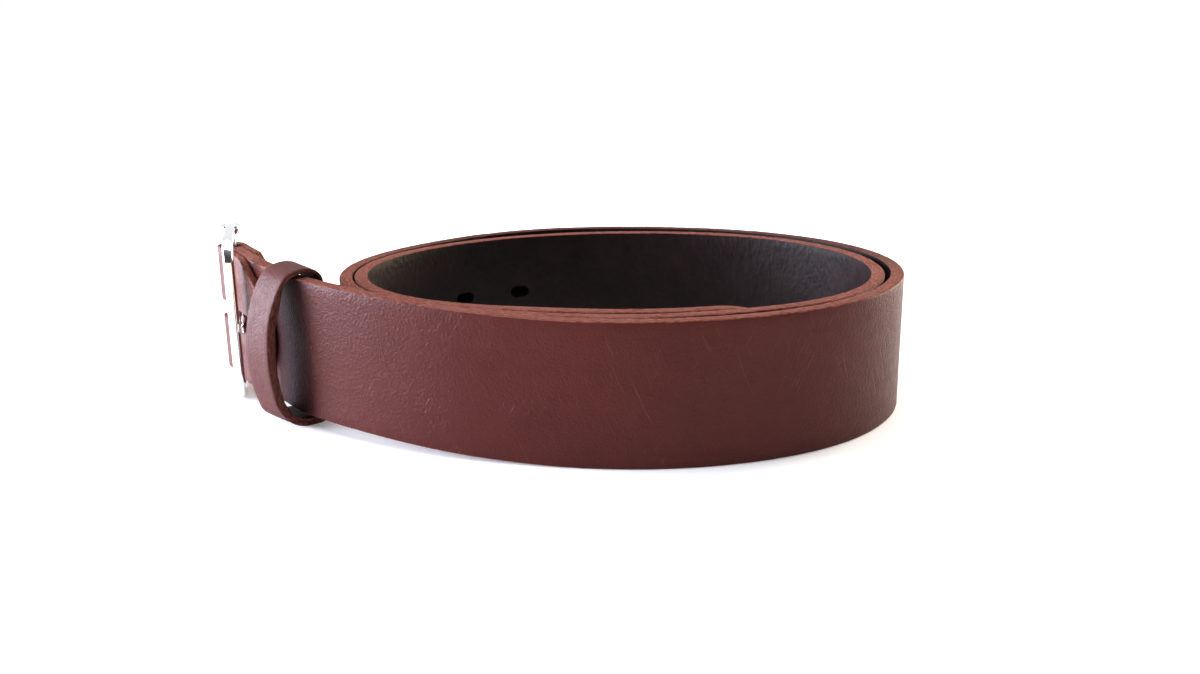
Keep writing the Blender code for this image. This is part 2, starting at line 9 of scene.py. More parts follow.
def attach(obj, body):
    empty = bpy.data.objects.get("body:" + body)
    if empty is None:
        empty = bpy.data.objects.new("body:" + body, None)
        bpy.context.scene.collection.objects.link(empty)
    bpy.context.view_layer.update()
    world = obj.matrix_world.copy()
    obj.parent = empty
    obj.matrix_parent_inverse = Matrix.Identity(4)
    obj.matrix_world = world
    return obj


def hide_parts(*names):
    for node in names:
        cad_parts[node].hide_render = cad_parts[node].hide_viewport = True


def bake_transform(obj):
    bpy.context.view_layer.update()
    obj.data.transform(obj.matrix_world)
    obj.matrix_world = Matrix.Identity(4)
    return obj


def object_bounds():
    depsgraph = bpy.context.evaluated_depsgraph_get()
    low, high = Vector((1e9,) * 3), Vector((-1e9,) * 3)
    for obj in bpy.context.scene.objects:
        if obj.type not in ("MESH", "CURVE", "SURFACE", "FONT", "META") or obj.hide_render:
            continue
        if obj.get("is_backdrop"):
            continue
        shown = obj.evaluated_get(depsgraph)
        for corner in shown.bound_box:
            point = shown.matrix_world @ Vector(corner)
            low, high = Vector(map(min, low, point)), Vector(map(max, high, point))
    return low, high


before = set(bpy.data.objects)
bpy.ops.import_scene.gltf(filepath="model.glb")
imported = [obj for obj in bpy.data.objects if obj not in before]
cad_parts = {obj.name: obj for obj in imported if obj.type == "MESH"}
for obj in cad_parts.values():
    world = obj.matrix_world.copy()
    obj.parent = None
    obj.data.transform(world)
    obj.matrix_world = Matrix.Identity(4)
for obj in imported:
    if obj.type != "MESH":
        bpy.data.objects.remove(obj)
cad_lo, cad_hi = [list(c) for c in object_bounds()]
scene = bpy.context.scene
MM = 0.001

# ------------------------------------------------------------------ dimensions
# the same numbers as the CAD, in millimetres
STRAP_W, STRAP_T, LIFT = 35.0, 3.4, 3.3
CX, CY = 9.65, 11.05
OVAL_YAW = 53.6
STATION_START, STATION_STEP = 210.0, 30.0
WRAP_RADII = [71.1, 58.0, 54.9, 58.8, 66.9, 71.3, 65.6, 57.4, 54.6, 58.6, 65.0, 72.7,
              66.4, 53.8, 51.0, 54.0, 63.0, 65.8, 59.2, 50.2, 46.7, 50.1, 59.6, 68.8,
              62.3, 49.6, 46.4, 49.9, 59.1]
WIND_FIRST, WIND_LAST, LIFT_ENDS_AT = 228.0, 1040.0, 262.0
STRAIGHT_Y, STRAIGHT_X0, STRAIGHT_X1 = -79.1, -75.3, -34.0
BUCKLE_FLEX_X, TAIL_LEN, POINT_LEN = -11.0, 48.0, 24.0
HOLE_FIRST, HOLE_STEP, HOLE_COUNT, HOLE_H, HOLE_L = 124.3, 18.0, 5, 3.4, 5.6
HOLE_UP = 1.0
END_SWING, END_PIVOT_X = 4.5, -53.0
BAR_X, BAR_R = -79.5, 1.3
TAB_T, SLOT_H, SCREW_X, SCREW_DZ = 1.9, 4.8, -68.0, 9.0
FRAME_H, FRAME_LEN, FRAME_ANGLE, FRAME_T, RAIL_H, OUTER_BAR_W = 44.0, 24.0, -22.1, 2.8, 2.5, 4.0
KEEPER_X0, KEEPER_X1 = -39.5, -27.5
Z_MID = LIFT + STRAP_W / 2
TAB_MID = STRAP_T / 2 + 0.3 + TAB_T / 2
TAB_OUT = STRAP_T / 2 + 0.3 + TAB_T
pivot = Vector((END_PIVOT_X + CX, STRAIGHT_Y + CY, 0.0))
LEAN = Matrix.Rotation(math.radians(-END_SWING), 4, "Z")
END = Matrix.Translation(pivot) @ LEAN @ Matrix.Translation(-pivot)                       # millimetres
END_M = Matrix.Translation(pivot * MM) @ LEAN @ Matrix.Translation(-pivot * MM)           # metres
bx, by = (END @ Vector((BAR_X + CX, STRAIGHT_Y + CY, 0.0)))[:2]


def swing(x):
    """Sideways lean of the buckle end at x, blended in over the last 6 mm."""
    t = math.tan(math.radians(END_SWING))
    d = END_PIVOT_X - x
    if d <= -3.0:
        return 0.0
    return t / 12.0 * (d + 3.0) ** 2 if d < 3.0 else t * d


def beside(x, off):
    """Point `off` in front of (-) or behind (+) the strap's middle at x, and the way out."""
    k = (swing(x - 0.01) - swing(x + 0.01)) / 0.02
    n = np.array([k, 1.0]) / math.hypot(k, 1.0)
    return np.array([x + CX, STRAIGHT_Y + CY + swing(x)]) + off * n, tuple(n * (1 if off > 0 else -1))


# ---------------------------------------------------------------- node helpers
class Nodes:
    """Small helper for writing shader trees."""

    def __init__(self, name):
        self.m = bpy.data.materials.new(name)
        self.m.use_nodes = True
        self.t = self.m.node_tree
        self.b = self.t.nodes["Principled BSDF"]

    def new(self, kind, **props):
        n = self.t.nodes.new(kind)
        for k, v in props.items():
            setattr(n, k, v)
        return n

    def link(self, a, b):
        self.t.links.new(a, b)

    def uv(self, scale=(1, 1, 1), angle=0.0):
        if not hasattr(self, "_uv"):
            self._uv = self.new("ShaderNodeUVMap", uv_map="leather")
        vec = self._uv.outputs[0]
        if angle:                         # turn first, then stretch along the turned axes
            tn = self.new("ShaderNodeMapping")
            tn.inputs["Rotation"].default_value = (0, 0, math.radians(angle))
            self.link(vec, tn.inputs["Vector"])
            vec = tn.outputs[0]
        mp = self.new("ShaderNodeMapping")
        mp.inputs["Scale"].default_value = scale
        self.link(vec, mp.inputs["Vector"])
        return mp.outputs[0]

    def obj(self, scale=(1, 1, 1)):
        tc = self.new("ShaderNodeTexCoord")
        mp = self.new("ShaderNodeMapping")
        mp.inputs["Scale"].default_value = scale
        self.link(tc.outputs["Object"], mp.inputs["Vector"])
        return mp.outputs[0]

    def noise(self, vec, scale, detail=3.0, rough=0.5, distort=0.0):
        n = self.new("ShaderNodeTexNoise")
        n.inputs["Scale"].default_value = scale
        n.inputs["Detail"].default_value = detail
        n.inputs["Roughness"].default_value = rough
        n.inputs["Distortion"].default_value = distort
        self.link(vec, n.inputs["Vector"])
        return n.outputs["Fac"]

    def voronoi(self, vec, scale, feature="F1", out="Distance", random=1.0):
        n = self.new("ShaderNodeTexVoronoi", feature=feature)
        n.inputs["Scale"].default_value = scale
        n.inputs["Randomness"].default_value = random
        self.link(vec, n.inputs["Vector"])
        return n.outputs[out]

    def ramp(self, fac, stops):
        r = self.new("ShaderNodeValToRGB")
        e = r.color_ramp.elements
        while len(e) < len(stops):
            e.new(0.5)
        for el, (p, c) in zip(e, stops):
            el.position = p
            el.color = (*c, 1.0) if len(c) == 3 else c
        self.link(fac, r.inputs["Fac"])
        return r.outputs["Color"]

    def mapr(self, v, a, b, c, d, clamp=True):
        n = self.new("ShaderNodeMapRange")
        n.clamp = clamp
        for k, x in zip(("From Min", "From Max", "To Min", "To Max"), (a, b, c, d)):
            n.inputs[k].default_value = x
        self.link(v, n.inputs["Value"])
        return n.outputs["Result"]

    def math(self, op, a, b=None, clamp=False):
        n = self.new("ShaderNodeMath", operation=op)
        n.use_clamp = clamp
        for i, x in enumerate((a, b)):
            if x is None:
                continue
            if isinstance(x, (int, float)):
                n.inputs[i].default_value = x
            else:
                self.link(x, n.inputs[i])
        return n.outputs[0]

    def mix(self, fac, a, b, mode="MIX"):
        n = self.new("ShaderNodeMix", data_type="RGBA", blend_type=mode)
        for sock, x in ((n.inputs["Factor"], fac), (n.inputs[6], a), (n.inputs[7], b)):
            if isinstance(x, (int, float)):
                sock.default_value = x
            elif isinstance(x, tuple):
                sock.default_value = (*x, 1.0)
            else:
                self.link(x, sock)
        return n.outputs[2]

    def bump(self, height, strength, dist, base=None):
        n = self.new("ShaderNodeBump")
        n.inputs["Strength"].default_value = strength
        n.inputs["Distance"].default_value = dist
        self.link(height, n.inputs["Height"])
        if base is not None:
            self.link(base, n.inputs["Normal"])
        return n.outputs["Normal"]


def grain_leather(name, tint=(1.0, 1.0, 1.0), rough=0.44):
    """Smooth drum-dyed leather: fine pores, faint slanting creases, a few specks."""
    n = Nodes(name)
    c = lambda r, g, b: (r * tint[0], g * tint[1], b * tint[2])
    broad = n.noise(n.uv((1, 1, 1)), 26.0, 3.0, 0.55)
    cloud = n.noise(n.uv((1, 1.3, 1)), 150.0, 4.0, 0.6)
    base = n.ramp(broad, [(0.3, c(0.060, 0.0085, 0.0058)), (0.55, c(0.072, 0.0110, 0.0076)), (0.75, c(0.085, 0.0145, 0.0105))])
    base = n.mix(n.mapr(cloud, 0.35, 0.7, 0.0, 0.35), base, c(0.052, 0.0075, 0.0055))
    # slanting hairline creases
    crease = n.noise(n.uv((1900, 170, 1), 28.0), 1.0, 3.0, 0.6, 0.4)
    crease2 = n.noise(n.uv((1100, 90, 1), -22.0), 1.0, 2.0, 0.5, 0.6)
    where = n.mapr(n.noise(n.uv(), 60.0, 2.0), 0.48, 0.66, 0.0, 1.0)
    line = n.math("MULTIPLY", n.mapr(crease, 0.60, 0.72, 0.0, 1.0), where)
    line2 = n.math("MULTIPLY", n.mapr(crease2, 0.63, 0.73, 0.0, 1.0), n.mapr(broad, 0.42, 0.62, 0.0, 1.0))
    lines = n.math("MAXIMUM", line, line2)
    base = n.mix(n.math("MULTIPLY", lines, 0.17), base, c(0.23, 0.075, 0.060))
    # small pale specks of dust and open pores, few and far between
    v = n.new("ShaderNodeTexVoronoi", feature="F1")
    v.inputs["Scale"].default_value = 210.0
    n.link(n.uv(), v.inputs["Vector"])
    sep = n.new("ShaderNodeSeparateColor")
    n.link(v.outputs["Color"], sep.inputs[0])
    speck = n.math("MULTIPLY", n.mapr(v.outputs["Distance"], 0.035, 0.055, 1.0, 0.0),
                   n.mapr(sep.outputs[0], 0.955, 0.965, 0.0, 1.0))
    base = n.mix(n.math("MULTIPLY", speck, 0.7), base, (0.45, 0.33, 0.28))
    # painted shadow of the keeper: darker, less glossy grain where the keeper rides over the strap
    keeper_shadow = n.mapr(n.new("ShaderNodeAttribute", attribute_name="edge_shade").outputs["Fac"], 0.0, -1.0, 0.0, 1.0)
    base = n.mix(n.math("MULTIPLY", keeper_shadow, 0.8), base, (0.012, 0.007, 0.009))
    n.link(base, n.b.inputs["Base Color"])
    n.link(n.mapr(keeper_shadow, 0.0, 1.0, 0.15, 0.03), n.b.inputs["Specular IOR Level"])
    # grain: shallow cells about half a millimetre across, broken up by finer noise
    warp = n.new("ShaderNodeVectorMath", operation="ADD")
    wn = n.new("ShaderNodeTexNoise")
    wn.inputs["Scale"].default_value = 900.0
    wn.inputs["Detail"].default_value = 2.0
    n.link(n.uv(), wn.inputs["Vector"])
    ws = n.new("ShaderNodeVectorMath", operation="SCALE")
    n.link(wn.outputs["Color"], ws.inputs[0])
    ws.inputs["Scale"].default_value = 0.0006
    n.link(n.uv(), warp.inputs[0])
    n.link(ws.outputs[0], warp.inputs[1])
    cells = n.voronoi(warp.outputs[0], 1700.0, "SMOOTH_F1")
    fine = n.noise(n.uv(), 3200.0, 2.0, 0.6)
    dents = n.noise(n.uv((1, 1, 1)), 520.0, 3.0, 0.55)
    h = n.math("ADD", n.math("MULTIPLY", cells, 0.5), n.math("MULTIPLY", fine, 0.35))
    h = n.math("ADD", h, n.math("MULTIPLY", dents, 0.35))
    h = n.math("SUBTRACT", h, n.math("MULTIPLY", lines, 0.4))
    n.link(n.bump(h, 0.6, 0.00034), n.b.inputs["Normal"])
    r = n.mapr(n.noise(n.uv(), 320.0, 3.0, 0.6), 0.3, 0.7, rough - 0.05, rough + 0.07)
    n.link(r, n.b.inputs["Roughness"])
    return n.m


def flesh_leather(name, tint=(1.0, 1.0, 1.0)):
    """The sealed, near-black inner side: a pebbly print with small wrinkles."""
    n = Nodes(name)
    c = lambda r, g, b: (r * tint[0], g * tint[1], b * tint[2])
    cloud = n.noise(n.uv(), 120.0, 4.0, 0.6)
    base = n.ramp(cloud, [(0.3, c(0.0070, 0.0030, 0.0030)), (0.7, c(0.0150, 0.0070, 0.0072))])
    n.link(base, n.b.inputs["Base Color"])
    warp = n.new("ShaderNodeVectorMath", operation="ADD")
    wn = n.new("ShaderNodeTexNoise")
    wn.inputs["Scale"].default_value = 500.0
    n.link(n.uv(), wn.inputs["Vector"])
    ws = n.new("ShaderNodeVectorMath", operation="SCALE")
    n.link(wn.outputs["Color"], ws.inputs[0])
    ws.inputs["Scale"].default_value = 0.0012
    n.link(n.uv((1.0, 0.72, 1)), warp.inputs[0])
    n.link(ws.outputs[0], warp.inputs[1])
    cells = n.voronoi(warp.outputs[0], 760.0, "SMOOTH_F1")
    wr = n.noise(n.uv((1300, 520, 1)), 1.0, 3.0, 0.6, 0.5)
    fine = n.noise(n.uv(), 3600.0, 2.0, 0.6)
    h = n.math("ADD", n.math("MULTIPLY", cells, 0.7), n.math("MULTIPLY", wr, 0.8))
    h = n.math("ADD", h, n.math("MULTIPLY", fine, 0.25))
    n.link(n.bump(h, 0.6, 0.0004), n.b.inputs["Normal"])
    r = n.mapr(cloud, 0.3, 0.7, 0.46, 0.58)
    n.link(r, n.b.inputs["Roughness"])
    n.b.inputs["Specular IOR Level"].default_value = 0.13
    return n.m


def edge_leather(name, gain=1.0, shade=None):
    """A raw cut edge: pressed fibres along the strap, rust to pale tan."""
    n = Nodes(name)
    c = lambda r, g, b: (r * gain, g * gain, b * gain)
    fib = n.noise(n.uv((420, 3600, 1)), 1.0, 4.0, 0.65, 0.3)
    lump = n.noise(n.uv((700, 1500, 1)), 1.0, 3.0, 0.6)
    cloud = n.noise(n.uv(), 90.0, 3.0, 0.6)
    base = n.ramp(fib, [(0.28, c(0.085, 0.019, 0.013)), (0.46, c(0.225, 0.060, 0.040)), (0.60, c(0.340, 0.105, 0.072)),
                        (0.78, c(0.520, 0.235, 0.165))])
    base = n.mix(n.mapr(lump, 0.32, 0.55, 0.8, 0.0), base, c(0.070, 0.016, 0.011))
    base = n.mix(n.mapr(cloud, 0.40, 0.65, 0.0, 0.35), base, c(0.270, 0.105, 0.078))
    if shade is not None:
        a = n.new("ShaderNodeAttribute", attribute_name=shade)
        base = n.mix(a.outputs["Fac"], base, c(0.045, 0.018, 0.016))
    n.link(base, n.b.inputs["Base Color"])
    grit = n.noise(n.uv(), 3800.0, 3.0, 0.7)
    h = n.math("ADD", n.math("MULTIPLY", fib, 0.8), n.math("MULTIPLY", lump, 0.8))
    h = n.math("ADD", h, n.math("MULTIPLY", grit, 0.5))
    n.link(n.bump(h, 1.0, 0.0006), n.b.inputs["Normal"])
    n.b.inputs["Roughness"].default_value = 0.85
    n.b.inputs["Specular IOR Level"].default_value = 0.12
    return n.m


def nickel(name, colour=(0.80, 0.775, 0.73), rough=0.09, brushed=0.0, axis=(1, 1, 1), gold_reflection_band=None):
    """Plated metal with faint polishing marks and a slightly uneven gloss."""
    n = Nodes(name)
    n.b.inputs["Metallic"].default_value = 1.0
    tone = n.noise(n.obj(), 90.0, 3.0, 0.5)
    base = n.ramp(tone, [(0.3, tuple(0.93 * v for v in colour)), (0.7, colour)])
    if gold_reflection_band is not None:              # painted gold reflection: base colour yellower over the upper half
        z = n.new("ShaderNodeSeparateXYZ")
        n.link(n.obj(), z.inputs[0])
        gold_reflection_mask = n.math("MULTIPLY", n.mapr(z.outputs["Z"], *gold_reflection_band, 0.0, 0.7), n.mapr(z.outputs["Z"], 0.038, 0.0405, 1.0, 0.0))
        base = n.mix(gold_reflection_mask, base, (0.86, 0.70, 0.48))
    n.link(base, n.b.inputs["Base Color"])
    marks = n.noise(n.obj(tuple(v * 1.0 for v in axis)), 900.0, 4.0, 0.65)
    r = n.mapr(marks, 0.3, 0.75, max(rough - 0.035, 0.02), rough + 0.06 + brushed)
    n.link(r, n.b.inputs["Roughness"])
    h = n.math("ADD", n.math("MULTIPLY", marks, 0.4), n.noise(n.obj(), 160.0, 2.0))
    n.link(n.bump(h, 0.10 + brushed, 0.00008), n.b.inputs["Normal"])
    return n.m


m_grain = grain_leather("belt_grain")
m_flesh = flesh_leather("belt_flesh")
m_edge = edge_leather("belt_edge", 0.84, shade="edge_shade")
# painted sheen: the tab grain is a lighter, bluer copy of the belt grain
m_tab_grain_painted_sheen = grain_leather("tab_grain", (1.06, 1.10, 1.12))
m_tab_edge = edge_leather("tab_edge", 0.8)
m_keep_grain = grain_leather("keeper_grain", (0.86, 0.95, 1.0), 0.58)
# painted shade: the keeper's cut edges are a darkened copy of the belt's edge colour
m_keep_edge_shaded = edge_leather("keeper_edge_shaded", 0.42)
# the warm band on the frame is a painted gold reflection
m_nickel = nickel("frame_nickel", (0.82, 0.83, 0.84), gold_reflection_band=(0.016, 0.034))
m_prong = nickel("prong_nickel_polished", (0.78, 0.75, 0.70), 0.11)
m_post = nickel("post_nickel_satin", (0.72, 0.71, 0.69), 0.20, 0.1)
m_screw = nickel("screw_nickel_satin", (0.68, 0.67, 0.65), 0.22, 0.1)
m_bar = nickel("heel_bar_turned", (0.62, 0.61, 0.60), 0.24, 0.2, (1, 1, 12))
m_wire = nickel("staple_wire", (0.56, 0.56, 0.57), 0.3, 0.2, (1, 1, 0.1))


# --------------------------------------------------------------- strap centreline
def natural_spline(xs, ys):
    n = len(xs)
    h = np.diff(xs)
    A = np.eye(n)
    r = np.zeros(n)
    for i in range(1, n - 1):
        A[i, i - 1], A[i, i], A[i, i + 1] = h[i - 1], 2 * (h[i - 1] + h[i]), h[i]
        r[i] = 6 * ((ys[i + 1] - ys[i]) / h[i] - (ys[i] - ys[i - 1]) / h[i - 1])
    m = np.linalg.solve(A, r)

    def f(x):
        i = min(max(int(np.searchsorted(xs, x)) - 1, 0), n - 2)
        a, b = xs[i + 1] - x, x - xs[i]
        return (m[i] * a ** 3 + m[i + 1] * b ** 3) / (6 * h[i]) \
            + (ys[i] / h[i] - m[i] * h[i] / 6) * a + (ys[i + 1] / h[i] - m[i + 1] * h[i] / 6) * b
    return f


wrap_radius = natural_spline(np.array([STATION_START + STATION_STEP * k for k in range(len(WRAP_RADII))]),
                             np.array(WRAP_RADII))


def coil_point(angle):
    a = math.radians(angle + OVAL_YAW)
    r = wrap_radius(angle)
    return np.array([r * math.cos(a), r * math.sin(a)])


def centreline():
    p0 = coil_point(WIND_FIRST)
    d0 = coil_point(WIND_FIRST - 0.01) - coil_point(WIND_FIRST + 0.01)
    d0 /= np.linalg.norm(d0)
    p1 = np.array([STRAIGHT_X1, STRAIGHT_Y])
    d1 = np.array([-1.0, 0.0])
    L = np.linalg.norm(p1 - p0)
    lead = []
    for k in range(81):
        u = k / 80.0
        lead.append((2 * u ** 3 - 3 * u ** 2 + 1) * p0 + (u ** 3 - 2 * u ** 2 + u) * L * 1.0 * d0
                    + (3 * u ** 2 - 2 * u ** 3) * p1 + (u ** 3 - u ** 2) * L * 0.7 * d1)
    straight = [np.array([x, STRAIGHT_Y + swing(x)]) for x in np.linspace(STRAIGHT_X0, STRAIGHT_X1, 42)]
    angles = np.arange(WIND_FIRST, WIND_LAST + 0.01, 0.5)
    coil = [coil_point(a) for a in angles]
    pts = np.array(straight[:-1] + lead[::-1] + coil[1:]) + np.array((CX, CY))
    wind = [WIND_FIRST] * (len(straight) - 1 + len(lead)) + list(angles[1:])
    return pts, np.array(wind)


line, wind = centreline()
arc = np.concatenate([[0.0], np.cumsum(np.hypot(*np.diff(line, axis=0).T))])
STRAP_LEN = float(arc[-1])


def on_line(s):
    return np.array([np.interp(s, arc, line[:, 0]), np.interp(s, arc, line[:, 1])])


def direction(s):
    d = on_line(min(s + 0.8, STRAP_LEN)) - on_line(max(s - 0.8, 0.0))
    return d / np.linalg.norm(d)


def outward(s):
    d = direction(s)
    return np.array([d[1], -d[0]])


s_flat = float(arc[np.argmin(np.hypot(*(line - coil_point(LIFT_ENDS_AT) - np.array((CX, CY))).T))])
s_lift = STRAIGHT_X1 + 4.0 - STRAIGHT_X0
s_flex = float(arc[np.argmin(np.abs(line[:int(len(line) * 0.12), 0] - (BUCKLE_FLEX_X + CX)))])
s_tail = STRAP_LEN - TAIL_LEN
s_seam = s_tail - 22.0


def lift(s):
    u = min(max((s - s_lift) / (s_flat - s_lift), 0.0), 1.0)
    return LIFT * (1.0 - u * u * (3.0 - 2.0 * u))


def half_width(s):
    u = (s - (STRAP_LEN - POINT_LEN)) / POINT_LEN
    if u <= 0.0:
        return STRAP_W / 2.0
    u = min(u, 1.0)
    return max(STRAP_W / 2.0 * math.sqrt(max(1.0 - u ** 2.0, 0.0)), 1.4)


def nz(x, y, z=0.0):
    return noise.noise(Vector((x, y, z)))


# ----------------------------------------------------------- leather strip meshes
def section(half_t, half_w, r_grain, r_flesh, n_face=14, n_edge=5):
    """One loop round a strip's section: (offset outwards, height, kind of the side that
    starts here).  0 grain, 1 flesh, 2 cut edge."""
    out = []
    g, f = r_grain, r_flesh
    hw = max(half_w, g + 0.05)
    for k in range(n_face):
        out.append((half_t, -(hw - g) + 2 * (hw - g) * k / n_face, 0))
    for k in range(3):
        a = math.radians(90 * k / 3)
        out.append((half_t - g + g * math.cos(a), hw - g + g * math.sin(a), 0 if k < 1 else 2))
    for k in range(n_edge):
        out.append((half_t - g - (2 * half_t - g - f) * k / n_edge, hw, 2))
    for k in range(3):
        a = math.radians(90 * k / 3)
        out.append((-half_t + f - f * math.sin(a), hw - f + f * math.cos(a), 2 if k < 2 else 1))
    for k in range(n_face):
        out.append((-half_t, (hw - f) - 2 * (hw - f) * k / n_face, 1))
    for k in range(3):
        a = math.radians(90 * k / 3)
        out.append((-half_t + f - f * math.cos(a), -(hw - f) - f * math.sin(a), 1 if k < 1 else 2))
    for k in range(n_edge):
        out.append((-half_t + f + (2 * half_t - g - f) * k / n_edge, -hw, 2))
    for k in range(3):
        a = math.radians(90 * k / 3)
        out.append((half_t - g + g * math.sin(a), -(hw - g) - g * math.cos(a), 2 if k < 2 else 0))
    return out


def strip(name, stations, half_t, mats, r_grain=0.45, r_flesh=0.3, n_face=14, rough_edge=0.06, wavy=0.05, seed=0.0,
          closed=False, shade=None):
    """stations: list of (s, point, outward normal, low z, high z) in millimetres."""
    bm = bmesh.new()
    uvl = bm.loops.layers.uv.new("leather")
    shl = bm.verts.layers.float.new("edge_shade") if shade else None
    rings, coords = [], []
    for s, p, nrm, lo, hi in stations:
        hw, mid = (hi - lo) / 2, (hi + lo) / 2
        loop = section(half_t, hw, r_grain, r_flesh, n_face)
        ring, per, total = [], [0.0], 0.0
        for i, (a, b, kind) in enumerate(loop):
            j = loop[(i + 1) % len(loop)]
            total += math.hypot(j[0] - a, j[1] - b)
            per.append(total)
        for i, (a, b, kind) in enumerate(loop):
            on_edge = abs(b) > hw - 0.25
            da = wavy * nz(s / 17.0 + seed, b / 14.0, 3.0) if abs(a) > half_t - 0.5 else 0.0
            db = 0.0
            if on_edge:
                db = rough_edge * (nz(s / 0.9 + seed, a / 0.8, 7.0 if b > 0 else 11.0) + 0.8 * nz(s / 6.0, a / 2.0, 5.0))
                if b < 0:
                    db = -abs(db) * -1.0
            x, y = p[0] + nrm[0] * (a + da), p[1] + nrm[1] * (a + da)
            v = bm.verts.new((x * MM, y * MM, (mid + b + db) * MM))
            if shl is not None:
                v[shl] = shade(s)
            ring.append(v)
        rings.append((ring, s, per, [k for _, _, k in loop]))
    m = len(rings[0][0])
    pairs = list(zip(rings[:-1], rings[1:]))
    for (r0, s0, per0, kinds), (r1, s1, per1, _) in pairs:
        for k in range(m):
            j = (k + 1) % m
            f = bm.faces.new((r0[k], r1[k], r1[j], r0[j]))
            f.material_index = kinds[k]
            f.smooth = True
            vals = ((s0, per0[k]), (s1, per1[k]), (s1, per1[k + 1]), (s0, per0[k + 1]))
            for lp, (u, v) in zip(f.loops, vals):
                lp[uvl].uv = ((u + seed * 7.0) * MM, v * MM)
    for end in (0, -1):
        ring, s, per, kinds = rings[end]
        f = bm.faces.new(ring if end == 0 else ring[::-1])
        f.material_index = 2
        for e in f.edges:                 # keeps the shading flat up to the cut end
            e.smooth = False
        for lp in f.loops:
            co = lp.vert.co
            lp[uvl].uv = (co.x + co.y, co.z)
    bmesh.ops.recalc_face_normals(bm, faces=bm.faces)
    me = bpy.data.meshes.new(name)
    bm.to_mesh(me)
    bm.free()
    for mt in mats:
        me.materials.append(mt)
    ob = bpy.data.objects.new(name, me)
    bpy.context.collection.objects.link(ob)
    return ob


def to_mesh_object(name, bm, mats, smooth=True, angle=None):
    bmesh.ops.recalc_face_normals(bm, faces=bm.faces)
    for f in bm.faces:
        f.smooth = smooth
    for v in bm.verts:
        v.co = v.co * MM
    me = bpy.data.meshes.new(name)
    bm.to_mesh(me)
    bm.free()
    for mt in mats:
        me.materials.append(mt)
    if angle is not None:
        me.set_sharp_from_angle(angle=math.radians(angle))
    ob = bpy.data.objects.new(name, me)
    bpy.context.collection.objects.link(ob)
    return ob


def bake_modifiers(ob):
    dg = bpy.context.evaluated_depsgraph_get()
    me = bpy.data.meshes.new_from_object(ob.evaluated_get(dg), preserve_all_data_layers=True, depsgraph=dg)
    ob.modifiers.clear()
    ob.data = me
    return ob


def carve(ob, cutters):
    """EXACT boolean cuts, applied, then the cutters are removed."""
    for c in cutters:
        m = ob.modifiers.new("cut", "BOOLEAN")
        m.operation, m.solver, m.object = "DIFFERENCE", "EXACT", c
    bpy.context.view_layer.update()
    bake_modifiers(ob)
    for c in cutters:
        bpy.data.objects.remove(c, do_unlink=True)
    return ob


def prism_mesh(name, ring, lo, hi, f, mats, wall_index):
    bm = bmesh.new()
    a = [bm.verts.new(f @ Vector((x, y, lo))) for x, y in ring]
    b = [bm.verts.new(f @ Vector((x, y, hi))) for x, y in ring]
    bm.faces.new(a)
    bm.faces.new(b[::-1])
    for k in range(len(ring)):
        j = (k + 1) % len(ring)
        bm.faces.new((a[k], b[k], b[j], a[j]))
    for q in bm.faces:
        q.material_index = wall_index
    return to_mesh_object(name, bm, mats, smooth=False)


# --------------------------------------------------------------------- the strap
def strap_stations(s0, s1, step, extra=()):
    n = max(int(round((s1 - s0) / step)), 2)
    ss = sorted(set([round(s0 + (s1 - s0) * k / n, 6) for k in range(n + 1)] + [e for e in extra if s0 < e < s1]))
    return [(s, on_line(s), outward(s), lift(s) + STRAP_W / 2 - half_width(s), lift(s) + STRAP_W / 2 + half_width(s))
            for s in ss]


def coil_back_and_keeper_shadow(s):
    """Darkening by arc length: above zero the cut edge is darker along the outer wrap's far side, below zero is the
    keeper's painted shadow on the grain.
    """
    a = float(np.interp(s, arc, wind))
    u = min(max((a - 335.0) / 50.0, 0.0), 1.0) * min(max((545.0 - a) / 45.0, 0.0), 1.0)
    x = STRAIGHT_X0 + s
    k = min(max((x + 43.0) / 2.0, 0.0), 1.0) * min(max((-19.0 - x) / 9.0, 0.0), 1.0)
    return 0.72 * u * u * (3 - 2 * u) - 0.95 * k * k * (3 - 2 * k)       # below zero: painted shadow cast by the keeper


leathers = [m_grain, m_flesh, m_edge]
strap = strip("strap_leather", strap_stations(0.0, s_seam, 1.5), STRAP_T / 2, leathers, shade=coil_back_and_keeper_shadow)
tip_rings = [STRAP_LEN - POINT_LEN * (1 - math.sin(math.radians(a)))
             for a in (8, 16, 24, 32, 40, 47, 54, 60, 66, 71, 75, 79, 82, 84.5, 86.5)]
tail = strip("strap_pointed_end", strap_stations(s_seam, STRAP_LEN, 1.5, tip_rings), STRAP_T / 2, leathers,
             shade=coil_back_and_keeper_shadow)

tools = []
for k in range(HOLE_COUNT):
    s = STRAP_LEN - HOLE_FIRST - HOLE_STEP * k
    p, d, nn = on_line(s), direction(s), outward(s)
    r = HOLE_H / 2
    ring = []
    for side in (1, -1):
        for i in range(13):
            a = math.radians(-90 + 180 * i / 12)
            ring.append((side * ((HOLE_L / 2 - r) + r * math.cos(a)), side * r * math.sin(a)))
    f = Matrix(((d[0], 0.0, nn[0], p[0]), (d[1], 0.0, nn[1], p[1]), (0.0, 1.0, 0.0, STRAP_W / 2 + HOLE_UP),
                (0, 0, 0, 1)))
    tools.append(prism_mesh("hole%d" % k, ring, -3.0, 3.0, f, leathers, 1))


def box_mesh(name, lo, hi, mats, idx):
    f = Matrix.Identity(4)
    return prism_mesh(name, [(lo[0], lo[1]), (hi[0], lo[1]), (hi[0], hi[1]), (lo[0], hi[1])], lo[2], hi[2], f, mats, idx)


def cyl_mesh(name, x, z, r, y0, y1, mats, idx, seg=32):
    f = Matrix(((1, 0, 0, 0), (0, 0, 1, 0), (0, 1, 0, 0), (0, 0, 0, 1)))
    ring = [(x + r * math.cos(2 * math.pi * k / seg), z + r * math.sin(2 * math.pi * k / seg)) for k in range(seg)]
    return prism_mesh(name, ring, y0, y1, f, mats, idx)


